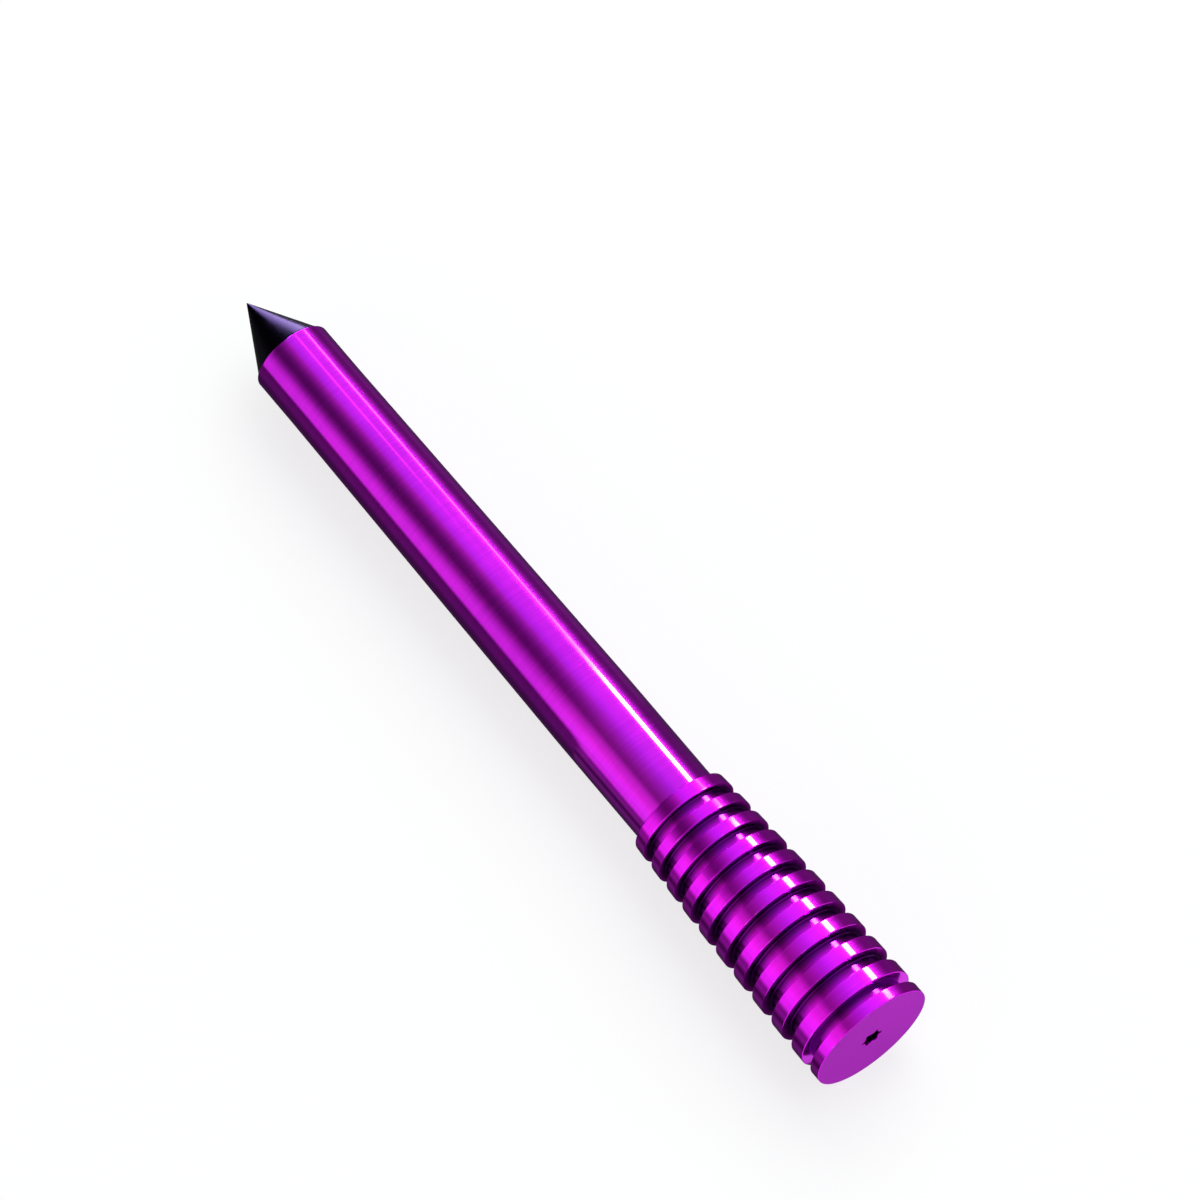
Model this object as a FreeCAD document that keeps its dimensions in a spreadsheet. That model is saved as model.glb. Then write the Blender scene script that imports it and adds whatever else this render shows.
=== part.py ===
import FreeCAD, Part
import math
import os

import Sketcher

# Balloon director: a slim anodised tube with a ringed grip, and the pointed
# obturator that closes it. All sizes are millimetres. Each piece is drawn with
# the instrument's axis on X, the point of the cone at 0 and the grip rearwards,
# and its Placement then sets the axis parallel to the surface that it lies on.

doc = FreeCAD.newDocument("balloon_director")
sheet = doc.addObject("Spreadsheet::Sheet", "sizes")

driving_sizes = [
    ("cone_length", 10.0, "point to the base of the cone"),
    ("cone_point_radius", 0.06, "small flat that the point is ground to"),
    ("tip_land_length", 10.0, "straight land behind the cone, which guides the tip in the bore"),
    ("rim_setback", 0.2, "how far the tube's rim lies behind the base of the cone"),
    ("bore_radius", 5.36, "passage of the director"),
    ("slide_clearance", 0.04, "radial clearance of what slides in the director"),
    ("nose_wall", 0.39, "wall of the tube's straight nose"),
    ("nose_length", 8.0, "length of the straight nose"),
    ("rim_round", 0.25, "rounded outer edge of the tube's rim"),
    ("tube_widening", 0.53, "what the tube's radius gains from the nose to the grip"),
    ("tube_length", 85.3, "part of the tube that shows"),
    ("rear_straight_length", 18.3, "straight part of the tube ahead of the grip"),
    ("spigot_step", 0.33, "step from the tube's outside down to its spigot in the grip"),
    ("fit_gap", 0.02, "radial gap of pieces that are screwed or bonded together"),
    ("washer_thickness", 0.5, "seal washer under the ring nut"),
    ("nut_thickness", 3.0, "ring nut that holds the grip on the tube"),
    ("nut_wall", 0.57, "wall of the ring nut"),
    ("nut_gap", 0.06, "radial gap round the ring nut"),
    ("nut_slot_width", 1.2, "spanner slots of the ring nut"),
    ("nut_slot_depth", 1.1, "spanner slots of the ring nut"),
    ("nut_slot_count", 4, "spanner slots of the ring nut"),
    ("grip_step", 1.0, "how far the first ring stands above the tube"),
    ("grip_widening", 1.48, "what the rings' radius gains from the first to the last"),
    ("crown_radius", 750.0, "long curve that the tops of the rings follow"),
    ("ring_count", 10, "rings on the grip, the cap not counted"),
    ("first_ring_width", 2.04, "width of the first ring"),
    ("first_pitch", 3.42, "rear edge of the first ring to that of the second"),
    ("pitch_growth", 0.118, "what each later pitch gains"),
    ("first_groove_width", 1.66, "width of the first groove"),
    ("groove_width_growth", 0.045, "what each later groove gains in width"),
    ("first_floor_rise", 0.1, "how far the floor of the first groove lies above the tube"),
    ("floor_growth", 0.1, "what each later floor gains in radius"),
    ("ring_chamfer", 0.2, "broken edges of the rings"),
    ("lead_in", 0.3, "chamfer at the mouth of the rear chamber"),
    ("seam_gap", 0.03, "cap to grip when the obturator is home"),
    ("cap_neck_length", 1.62, "neck of the cap, which is the last groove"),
    ("cap_land_length", 1.73, "ring of the cap"),
    ("cap_chamfer", 0.18, "edge of the end face"),
    ("plug_length", 11.0, "part of the cap that closes the rear chamber"),
    ("plug_lead", 0.6, "chamfer on the front of the plug"),
    ("chamber_gap", 0.6, "ring nut to the front of the plug"),
    ("seal_offset", 5.5, "front of the plug to the middle of its seal"),
    ("seal_section", 1.3, "square section of the seal ring"),
    ("seal_chamfer", 0.3, "corners of the seal ring"),
    ("seal_side_gap", 0.1, "free width on each side of the seal ring in its gland"),
    ("seal_bore_gap", 0.03, "seal ring to chamber wall, with its squeeze left out"),
    ("rod_gap", 0.96, "radial gap between the obturator rod and the bore"),
    ("rod_edge_chamfer", 0.4, "ends of the rod"),
    ("thread_radius", 3.0, "threaded spigots of the tip and the rod"),
    ("tip_spigot_length", 9.4, "spigot of the tip, in the rod's front socket"),
    ("rod_spigot_length", 8.5, "spigot of the rod, in the cap"),
    ("bottom_gap", 0.6, "free depth behind a spigot"),
    ("pin_radius", 1.0, "dowel across the rod and the tip's spigot"),
    ("pin_end_margin", 4.4, "dowel to the rear end of the tip's spigot"),
    ("pin_sink", 0.25, "dowel's ends below the rod's surface"),
    ("flat_offset", 90.0, "front of the rod to its spanner flats"),
    ("flat_length", 5.0, "spanner flats of the rod"),
    ("flat_sink", 0.6, "spanner flats below the rod's surface"),
    ("guide_length", 6.0, "guide rings on the rod"),
    ("guide_seat_depth", 0.6, "seats of the guide rings in the rod"),
    ("guide_clearance", 0.06, "radial clearance of the guide rings in the bore"),
    ("front_guide_offset", 14.0, "front of the rod to the front guide ring"),
    ("rear_guide_offset", 82.0, "front of the rod to the rear guide ring"),
    ("key_outer_radius", 1.635, "hexalobular socket, over its lobes"),
    ("key_lobe_radius", 0.267, "rounding of the lobes"),
    ("key_hollow_radius", 0.704, "rounding between the lobes"),
    ("key_depth", 2.2, "depth of the socket"),
]

# Lengths closer than near count as the same, and a cut takes away more than least_cut
near = 0.005
least_cut = 1e-6
lobe_count = 6

values = {}
for row, (alias, value, note) in enumerate(driving_sizes, start=1):
    sheet.set(f"A{row}", note)
    sheet.set(f"B{row}", str(value))
    sheet.setAlias(f"B{row}", alias)
    values[alias] = value
doc.recompute()


class Size:
    """A length as a number, and as the expression that a feature is bound to."""

    def __init__(self, text, value):
        self.text = text
        self.value = value

    def __add__(self, other):
        return Size(f"({self.text} + {other.text})", self.value + other.value)

    def __sub__(self, other):
        return Size(f"({self.text} - {other.text})", self.value - other.value)

    def __mul__(self, number):
        return Size(f"({self.text} * {number})", self.value * number)

    def __neg__(self):
        return Size(f"(-1 * {self.text})", -self.value)


def size(alias):
    return Size(f"sizes.{alias}", values[alias])


ON_AXIS = Size("0", 0.0)

# Radii, each from the piece that it fits
bore_radius = size("bore_radius")
tip_radius = bore_radius - size("slide_clearance")
nose_radius = bore_radius + size("nose_wall")
tube_rear_radius = nose_radius + size("tube_widening")
spigot_radius = tube_rear_radius - size("spigot_step")
screwed_radius = spigot_radius + size("fit_gap")
nut_radius = screwed_radius + size("nut_wall")
chamber_radius = nut_radius + size("nut_gap")
plug_radius = chamber_radius - size("slide_clearance")
grip_front_radius = tube_rear_radius + size("grip_step")
grip_rear_radius = grip_front_radius + size("grip_widening")
rod_radius = bore_radius - size("rod_gap")
threaded_hole = size("thread_radius") + size("fit_gap")

# Where things lie along the axis, counted from the point of the cone
tube_front = size("cone_length") + size("rim_setback")
nose_end = tube_front + size("nose_length")
grip_front = tube_front + size("tube_length")
taper_end = grip_front - size("rear_straight_length")
ring_count = values["ring_count"]


def ring_rear(ring):
    """Rear edge of a ring of the grip, the first being 0."""
    growth_steps = ring * (ring - 1) / 2
    start = grip_front + size("first_ring_width") + size("first_pitch") * ring
    return start + size("pitch_growth") * growth_steps


def floor_radius(ring):
    """Floor of the groove behind a ring, the neck of the cap being the last."""
    return tube_rear_radius + size("first_floor_rise") + size("floor_growth") * ring


grip_rear = ring_rear(ring_count - 1)
cap_front = grip_rear + size("seam_gap")
cap_land_front = cap_front + size("cap_neck_length")
end_face = cap_land_front + size("cap_land_length")
plug_front = cap_front - size("plug_length")
nut_rear = plug_front - size("chamber_gap")
nut_front = nut_rear - size("nut_thickness")
inner_shoulder = nut_front - size("washer_thickness")
seal_middle = plug_front + size("seal_offset")
rod_front = size("cone_length") + size("tip_land_length")
pin_place = rod_front + size("tip_spigot_length") - size("pin_end_margin")
pin_hole = size("pin_radius") + size("fit_gap") * 0.5


def origin_plane(body, role):
    for feature in body.Origin.OriginFeatures:
        if feature.Role == role:
            return feature


def lay_down(piece):
    """Move a piece from the drawing's axis to its place on the surface."""
    half_length = end_face * 0.5
    piece.setExpression("Placement.Base.x", (-half_length).text)
    piece.setExpression("Placement.Base.z", grip_rear_radius.text)


def bind(sketch, constraint, text):
    index = sketch.addConstraint(constraint)
    sketch.setExpression(f"Constraints[{index}]", text)


def pin_corner(sketch, edge, corner, along, radius):
    """Tie one corner of an outline to its place along and off the axis."""
    if along is ON_AXIS:
        sketch.addConstraint(Sketcher.Constraint("PointOnObject", edge, corner, -2))
    else:
        distance = Sketcher.Constraint("DistanceX", -1, 1, edge, corner, along.value)
        bind(sketch, distance, along.text)
    if radius is ON_AXIS:
        sketch.addConstraint(Sketcher.Constraint("PointOnObject", edge, corner, -1))
    else:
        distance = Sketcher.Constraint("DistanceY", -1, 1, edge, corner, radius.value)
        bind(sketch, distance, radius.text)


def crown_arc(front, rear, radius):
    """Arc through two corners that bulges away from the axis."""
    chord = rear - front
    middle = (front + rear) * 0.5
    inward = FreeCAD.Vector(chord.y, -chord.x, 0).normalize()
    depth = math.sqrt(radius ** 2 - (chord.Length / 2) ** 2)
    centre = middle + inward * depth
    start = math.atan2(rear.y - centre.y, rear.x - centre.x)
    end = math.atan2(front.y - centre.y, front.x - centre.x)
    circle = Part.Circle(centre, FreeCAD.Vector(0, 0, 1), radius)
    return Part.ArcOfCircle(circle, start, end)


def outline(body, name, corners, crowned_edge=None):
    """Closed outline of a turned piece, in the plane through its axis."""
    sketch = body.newObject("Sketcher::SketchObject", name)
    sketch.AttachmentSupport = (origin_plane(body, "XZ_Plane"), [""])
    sketch.MapMode = "FlatFace"
    points = [FreeCAD.Vector(along.value, radius.value, 0) for along, radius in corners]
    count = len(points)
    first_end = []
    last_end = []
    for edge in range(count):
        start = points[edge]
        end = points[(edge + 1) % count]
        if edge == crowned_edge:
            sketch.addGeometry(crown_arc(start, end, values["crown_radius"]), False)
            first_end.append(2)
            last_end.append(1)
        else:
            sketch.addGeometry(Part.LineSegment(start, end), False)
            first_end.append(1)
            last_end.append(2)
    for edge in range(count):
        after = (edge + 1) % count
        joint = Sketcher.Constraint("Coincident", edge, last_end[edge], after, first_end[after])
        sketch.addConstraint(joint)
    for edge, (along, radius) in enumerate(corners):
        pin_corner(sketch, edge, first_end[edge], along, radius)
    if crowned_edge is not None:
        curve = Sketcher.Constraint("Radius", crowned_edge, values["crown_radius"])
        bind(sketch, curve, size("crown_radius").text)
    return sketch


def turned(name, corners, crowned_edge=None):
    """A body turned about the axis from one outline."""
    body = doc.addObject("PartDesign::Body", name)
    sketch = outline(body, f"{name}_outline", corners, crowned_edge)
    turning = body.newObject("PartDesign::Revolution", f"{name}_turning")
    turning.Profile = sketch
    turning.ReferenceAxis = (sketch, ["H_Axis"])
    turning.Angle = 360
    sketch.Visibility = False
    lay_down(body)
    return body


def cut_groove(body, name, front, rear, floor, outside):
    """Turn a square groove between two places along the axis."""
    corners = [(front, floor), (front, outside), (rear, outside), (rear, floor)]
    sketch = outline(body, f"{name}_outline", corners)
    groove = body.newObject("PartDesign::Groove", name)
    groove.Profile = sketch
    groove.ReferenceAxis = (sketch, ["H_Axis"])
    groove.Angle = 360
    sketch.Visibility = False
    return groove


def must_remove(body, before, what):
    """Stop if a cut took nothing away."""
    doc.recompute()
    after = body.Shape.Volume
    if not after < before - least_cut:
        raise RuntimeError(f"{what} removed nothing from {body.Label}")
    return after


def circle_edges(shape, wanted):
    """Names of the round edges that a test on place and radius picks."""
    names = []
    for number, edge in enumerate(shape.Edges, start=1):
        curve = edge.Curve
        if isinstance(curve, Part.Circle) and wanted(curve.Center.x, curve.Radius):
            names.append(f"Edge{number}")
    return names


def dress_edges(body, kind, name, names, amount):
    """Round or break edges of the body's last feature, by an amount from the sheet."""
    if not names:
        raise RuntimeError(f"{name} found no edges")
    feature = body.newObject(f"PartDesign::{kind}", name)
    feature.Base = (feature.BaseFeature, names)
    feature.setExpression("Radius" if kind == "Fillet" else "Size", amount.text)
    doc.recompute()
    return feature


def end_sketch(body, name, place):
    """Empty sketch square to the axis, seen from the rear."""
    sketch = body.newObject("Sketcher::SketchObject", name)
    sketch.AttachmentSupport = (origin_plane(body, "YZ_Plane"), [""])
    sketch.MapMode = "FlatFace"
    sketch.setExpression("AttachmentOffset.Base.z", place.text)
    return sketch


def upright_rectangle(sketch, width, low, high):
    """Rectangle centred on the upright axis, between two heights."""
    side = width.value / 2
    corners = [
        FreeCAD.Vector(-side, low.value, 0),
        FreeCAD.Vector(side, low.value, 0),
        FreeCAD.Vector(side, high.value, 0),
        FreeCAD.Vector(-side, high.value, 0),
    ]
    for edge in range(4):
        sketch.addGeometry(Part.LineSegment(corners[edge], corners[(edge + 1) % 4]), False)
    for edge in range(4):
        sketch.addConstraint(Sketcher.Constraint("Coincident", edge, 2, (edge + 1) % 4, 1))
    sketch.addConstraint(Sketcher.Constraint("Vertical", 1))
    sketch.addConstraint(Sketcher.Constraint("Horizontal", 2))
    sketch.addConstraint(Sketcher.Constraint("Vertical", 3))
    sketch.addConstraint(Sketcher.Constraint("Symmetric", 0, 1, 0, 2, -2))
    bind(sketch, Sketcher.Constraint("DistanceX", 0, 1, 0, 2, width.value), width.text)
    bind(sketch, Sketcher.Constraint("DistanceY", -1, 1, 0, 1, low.value), low.text)
    bind(sketch, Sketcher.Constraint("DistanceY", -1, 1, 2, 1, high.value), high.text)


def sink(body, name, sketch, depth):
    """Pocket from a sketch towards the front of the piece."""
    before = body.Shape.Volume
    pocket = body.newObject("PartDesign::Pocket", name)
    pocket.Profile = sketch
    pocket.setExpression("Length", depth.text)
    sketch.Visibility = False
    must_remove(body, before, name)
    return pocket


# Director tube: straight nose, slow taper, and the spigot that stands in the grip
def make_director_tube():
    body = turned("director_tube", [
        (tube_front, bore_radius),
        (tube_front, nose_radius),
        (nose_end, nose_radius),
        (taper_end, tube_rear_radius),
        (grip_front, tube_rear_radius),
        (grip_front, spigot_radius),
        (nut_rear, spigot_radius),
        (nut_rear, bore_radius),
    ])
    doc.recompute()

    def outer_rim(along, radius):
        at_front = abs(along - tube_front.value) < near
        return at_front and abs(radius - nose_radius.value) < near

    rim = circle_edges(body.Tip.Shape, outer_rim)
    dress_edges(body, "Fillet", "rim_rounding", rim, size("rim_round"))
    return body


def crown_height(along):
    """Radius of the crowned outside of the grip at a place along the axis."""
    front = FreeCAD.Vector(grip_front.value, grip_front_radius.value, 0)
    rear = FreeCAD.Vector(grip_rear.value, grip_rear_radius.value, 0)
    centre = crown_arc(front, rear, values["crown_radius"]).Center
    return centre.y + math.sqrt(values["crown_radius"] ** 2 - (along - centre.x) ** 2)


# Ringed grip: crowned sleeve with grooves that grow wider to the rear
def make_ringed_grip():
    body = turned("ringed_grip", [
        (grip_front, grip_front_radius),
        (grip_rear, grip_rear_radius),
        (grip_rear, chamber_radius + size("lead_in")),
        (grip_rear - size("lead_in"), chamber_radius),
        (inner_shoulder, chamber_radius),
        (inner_shoulder, screwed_radius),
        (grip_front, screwed_radius),
    ], crowned_edge=0)
    doc.recompute()
    volume = body.Shape.Volume
    outside = grip_rear_radius + size("first_groove_width")
    for ring in range(ring_count - 1):
        front = ring_rear(ring)
        rear = front + size("first_groove_width") + size("groove_width_growth") * ring
        cut_groove(body, f"finger_groove_{ring + 1}", front, rear, floor_radius(ring), outside)
        volume = must_remove(body, volume, f"finger groove {ring + 1}")

    def ring_edge(along, radius):
        return abs(radius - crown_height(along)) < near

    edges = circle_edges(body.Tip.Shape, ring_edge)
    dress_edges(body, "Chamfer", "ring_edges", edges, size("ring_chamfer"))
    return body


# Ring nut on the end of the tube's spigot, with slots for a pin spanner
def make_ring_nut():
    body = turned("ring_nut", [
        (nut_front, screwed_radius),
        (nut_front, nut_radius),
        (nut_rear, nut_radius),
        (nut_rear, screwed_radius),
    ])
    doc.recompute()
    sketch = end_sketch(body, "spanner_slot_outline", nut_rear)
    upright_rectangle(sketch, size("nut_slot_width"), bore_radius, chamber_radius)
    slot = sink(body, "spanner_slot", sketch, size("nut_slot_depth"))
    volume = body.Shape.Volume
    slots = body.newObject("PartDesign::PolarPattern", "spanner_slots")
    slots.Originals = [slot]
    slots.Axis = (origin_plane(body, "X_Axis"), [""])
    slots.Angle = 360
    slots.setExpression("Occurrences", size("nut_slot_count").text)
    body.Tip = slots
    must_remove(body, volume, "pattern of spanner slots")
    return body


# Seal washer between the grip's inner shoulder and the ring nut
def make_nut_washer():
    return turned("nut_washer", [
        (inner_shoulder, screwed_radius),
        (inner_shoulder, nut_radius),
        (nut_front, nut_radius),
        (nut_front, screwed_radius),
    ])


def drill_across(body, name, along, radius):
    """Hole through the whole piece, square to its axis."""
    before = body.Shape.Volume
    sketch = body.newObject("Sketcher::SketchObject", f"{name}_outline")
    sketch.AttachmentSupport = (origin_plane(body, "XY_Plane"), [""])
    sketch.MapMode = "FlatFace"
    centre = FreeCAD.Vector(along.value, 0, 0)
    sketch.addGeometry(Part.Circle(centre, FreeCAD.Vector(0, 0, 1), radius.value), False)
    sketch.addConstraint(Sketcher.Constraint("PointOnObject", 0, 3, -1))
    bind(sketch, Sketcher.Constraint("DistanceX", -1, 1, 0, 3, along.value), along.text)
    bind(sketch, Sketcher.Constraint("Radius", 0, radius.value), radius.text)
    hole = body.newObject("PartDesign::Pocket", name)
    hole.Profile = sketch
    hole.Type = "ThroughAll"
    hole.Midplane = True
    sketch.Visibility = False
    must_remove(body, before, name)


# Cone tip: dark point, guide land and the spigot that screws into the rod
def make_cone_tip():
    spigot_end = rod_front + size("tip_spigot_length")
    body = turned("cone_tip", [
        (ON_AXIS, ON_AXIS),
        (ON_AXIS, size("cone_point_radius")),
        (size("cone_length"), tip_radius),
        (rod_front, tip_radius),
        (rod_front, size("thread_radius")),
        (spigot_end, size("thread_radius")),
        (spigot_end, ON_AXIS),
    ])
    doc.recompute()
    drill_across(body, "tip_pin_hole", pin_place, pin_hole)
    return body


# Obturator rod: socket for the tip, two seats for guide rings, spigot for the cap
def make_core_rod():
    chamfer = size("rod_edge_chamfer")
    socket_end = rod_front + size("tip_spigot_length") + size("bottom_gap")
    spigot_end = plug_front + size("rod_spigot_length")
    body = turned("core_rod", [
        (socket_end, ON_AXIS),
        (socket_end, threaded_hole),
        (rod_front, threaded_hole),
        (rod_front, rod_radius - chamfer),
        (rod_front + chamfer, rod_radius),
        (plug_front - chamfer, rod_radius),
        (plug_front, rod_radius - chamfer),
        (plug_front, size("thread_radius")),
        (spigot_end, size("thread_radius")),
        (spigot_end, ON_AXIS),
    ])
    doc.recompute()
    volume = body.Shape.Volume
    for name in ("front_guide", "rear_guide"):
        front = rod_front + size(f"{name}_offset")
        rear = front + size("guide_length")
        floor = rod_radius - size("guide_seat_depth")
        cut_groove(body, f"{name}_seat", front, rear, floor, bore_radius)
        volume = must_remove(body, volume, f"{name} seat")
    drill_across(body, "rod_pin_hole", pin_place, pin_hole)
    flat_rear = rod_front + size("flat_offset") + size("flat_length")
    sketch = end_sketch(body, "spanner_flat_outline", flat_rear)
    upright_rectangle(sketch, rod_radius * 2, rod_radius - size("flat_sink"), bore_radius)
    flat = sink(body, "spanner_flat", sketch, size("flat_length"))
    volume = body.Shape.Volume
    other = body.newObject("PartDesign::Mirrored", "opposite_flat")
    other.Originals = [flat]
    other.MirrorPlane = (origin_plane(body, "XY_Plane"), [""])
    body.Tip = other
    must_remove(body, volume, "opposite flat")
    return body


# Guide rings: plain low-friction rings that keep the rod off the bore
def make_guide_ring(name, offset):
    front = rod_front + size(offset) + size("fit_gap")
    rear = rod_front + size(offset) + size("guide_length") - size("fit_gap")
    inside = rod_radius - size("guide_seat_depth") + size("fit_gap")
    outside = bore_radius - size("guide_clearance")
    return turned(name, [
        (front, inside),
        (front, outside),
        (rear, outside),
        (rear, inside),
    ])


# Dowel that locks the tip's thread in the rod
def make_tip_pin():
    pin = doc.addObject("Part::Cylinder", "tip_pin")
    half_length = rod_radius - size("pin_sink")
    pin.setExpression("Radius", size("pin_radius").text)
    pin.setExpression("Height", (half_length * 2).text)
    pin.setExpression("Placement.Base.x", (pin_place - end_face * 0.5).text)
    pin.setExpression("Placement.Base.z", (grip_rear_radius - half_length).text)
    return pin


def key_outline(body):
    """Hexalobular outline: six round lobes, joined by six round hollows."""
    sketch = end_sketch(body, "key_socket_outline", end_face)
    lobe = size("key_lobe_radius")
    hollow = size("key_hollow_radius")
    lobe_reach = size("key_outer_radius") - lobe
    # A hollow's centre is where its circle touches both of its lobes
    half_turn = math.pi / lobe_count
    apart = lobe.value + hollow.value
    sideways = lobe_reach.value * math.sin(half_turn)
    hollow_reach = lobe_reach.value * math.cos(half_turn) + math.sqrt(apart ** 2 - sideways ** 2)
    spread = math.pi - math.acos((lobe_reach.value ** 2 + apart ** 2 - hollow_reach ** 2)
                                 / (2 * lobe_reach.value * apart))
    closing = spread - half_turn
    axis = FreeCAD.Vector(0, 0, 1)
    for step in range(lobe_count):
        turn = 2 * half_turn * step
        centre = FreeCAD.Vector(math.cos(turn), math.sin(turn), 0) * lobe_reach.value
        circle = Part.Circle(centre, axis, lobe.value)
        sketch.addGeometry(Part.ArcOfCircle(circle, turn - spread, turn + spread), False)
        turn += half_turn
        centre = FreeCAD.Vector(math.cos(turn), math.sin(turn), 0) * hollow_reach
        circle = Part.Circle(centre, axis, hollow.value)
        facing = turn + math.pi
        sketch.addGeometry(Part.ArcOfCircle(circle, facing - closing, facing + closing), False)
    for step in range(lobe_count):
        here = 2 * step
        after = (here + 2) % (2 * lobe_count)
        sketch.addConstraint(Sketcher.Constraint("Tangent", here, 2, here + 1, 2))
        sketch.addConstraint(Sketcher.Constraint("Tangent", here + 1, 1, after, 1))
        if step:
            sketch.addConstraint(Sketcher.Constraint("Equal", 0, here))
            sketch.addConstraint(Sketcher.Constraint("Equal", 1, here + 1))
        turn = 2 * half_turn * step
        place = lobe_reach * round(math.cos(turn), 12)
        bind(sketch, Sketcher.Constraint("DistanceX", -1, 1, here, 3, place.value), place.text)
        height = lobe_reach * round(math.sin(turn), 12)
        if abs(height.value) < near:
            sketch.addConstraint(Sketcher.Constraint("PointOnObject", here, 3, -1))
        else:
            bind(sketch, Sketcher.Constraint("DistanceY", -1, 1, here, 3, height.value), height.text)
    bind(sketch, Sketcher.Constraint("Radius", 0, lobe.value), lobe.text)
    bind(sketch, Sketcher.Constraint("Radius", 1, hollow.value), hollow.text)
    return sketch


# End cap: plug with the seal's gland, neck, last ring and the key socket
def make_end_cap():
    neck = floor_radius(ring_count - 1)
    rim = grip_rear_radius
    chamfer = size("cap_chamfer")
    socket_end = plug_front + size("rod_spigot_length") + size("bottom_gap")
    body = turned("end_cap", [
        (socket_end, ON_AXIS),
        (socket_end, threaded_hole),
        (plug_front, threaded_hole),
        (plug_front, plug_radius - size("plug_lead")),
        (plug_front + size("plug_lead"), plug_radius),
        (cap_front, plug_radius),
        (cap_front, neck),
        (cap_land_front, neck),
        (cap_land_front, rim - size("ring_chamfer")),
        (cap_land_front + size("ring_chamfer"), rim),
        (end_face - chamfer, rim),
        (end_face, rim - chamfer),
        (end_face, ON_AXIS),
    ])
    doc.recompute()
    volume = body.Shape.Volume
    half_gland = size("seal_section") * 0.5 + size("seal_side_gap")
    floor = plug_radius - size("seal_section")
    cut_groove(body, "seal_gland", seal_middle - half_gland, seal_middle + half_gland,
               floor, chamber_radius)
    must_remove(body, volume, "seal gland")
    sink(body, "key_socket", key_outline(body), size("key_depth"))
    return body


# Seal ring in the plug's gland, square with broken corners
def make_cap_seal():
    outside = chamber_radius - size("seal_bore_gap")
    inside = outside - size("seal_section")
    front = seal_middle - size("seal_section") * 0.5
    rear = seal_middle + size("seal_section") * 0.5
    chamfer = size("seal_chamfer")
    return turned("cap_seal_ring", [
        (front, inside + chamfer),
        (front, outside - chamfer),
        (front + chamfer, outside),
        (rear - chamfer, outside),
        (rear, outside - chamfer),
        (rear, inside + chamfer),
        (rear - chamfer, inside),
        (front + chamfer, inside),
    ])


pieces = [
    make_director_tube(),
    make_ringed_grip(),
    make_ring_nut(),
    make_nut_washer(),
    make_cone_tip(),
    make_core_rod(),
    make_tip_pin(),
    make_guide_ring("guide_ring_front", "front_guide_offset"),
    make_guide_ring("guide_ring_rear", "rear_guide_offset"),
    make_end_cap(),
    make_cap_seal(),
]
doc.recompute()

for item in doc.Objects:
    if "Invalid" in item.State or "Error" in item.State:
        raise RuntimeError(f"{item.Label} is not valid: {item.State}")

os.makedirs("parts", exist_ok=True)
for piece in pieces:
    shape = piece.Shape
    if shape.isNull() or not shape.isValid():
        raise RuntimeError(f"{piece.Label} has no valid shape")
    shape.exportStep(f"parts/{piece.Label}.step")
    box = shape.BoundBox
    print(f"{piece.Label}: {len(shape.Solids)} solid, {shape.Volume:.1f} mm3, "
          f"x {box.XMin:.2f} to {box.XMax:.2f}, z {box.ZMin:.2f} to {box.ZMax:.2f}")
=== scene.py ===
import math

import bmesh
import bpy
from mathutils import Matrix, Vector


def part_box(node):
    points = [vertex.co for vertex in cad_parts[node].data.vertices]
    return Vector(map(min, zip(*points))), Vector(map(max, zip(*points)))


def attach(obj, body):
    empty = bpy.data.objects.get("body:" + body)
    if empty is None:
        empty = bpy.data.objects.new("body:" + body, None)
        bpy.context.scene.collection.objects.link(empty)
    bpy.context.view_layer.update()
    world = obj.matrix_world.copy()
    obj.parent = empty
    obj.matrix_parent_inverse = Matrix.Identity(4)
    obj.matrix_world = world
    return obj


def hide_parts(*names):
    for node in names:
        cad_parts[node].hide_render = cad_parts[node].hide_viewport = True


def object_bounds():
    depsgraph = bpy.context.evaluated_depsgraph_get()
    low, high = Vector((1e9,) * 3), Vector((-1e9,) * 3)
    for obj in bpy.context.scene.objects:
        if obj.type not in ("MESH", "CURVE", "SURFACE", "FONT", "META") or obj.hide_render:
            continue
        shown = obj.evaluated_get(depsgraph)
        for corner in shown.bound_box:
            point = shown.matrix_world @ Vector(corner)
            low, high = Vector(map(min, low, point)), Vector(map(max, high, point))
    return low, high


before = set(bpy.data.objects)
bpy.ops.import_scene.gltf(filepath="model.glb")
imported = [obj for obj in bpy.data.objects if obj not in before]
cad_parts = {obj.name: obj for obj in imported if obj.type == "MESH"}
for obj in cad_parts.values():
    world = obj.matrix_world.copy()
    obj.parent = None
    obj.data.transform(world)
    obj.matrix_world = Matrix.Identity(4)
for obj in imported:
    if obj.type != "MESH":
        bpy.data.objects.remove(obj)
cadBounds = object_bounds()
print("frame loaded with", len(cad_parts), "nodes")

mm = 0.001
slack = 0.01 * mm  # for telling which surface a corner lies on
axisX = Vector((1, 0, 0))


# Shader maths

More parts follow.
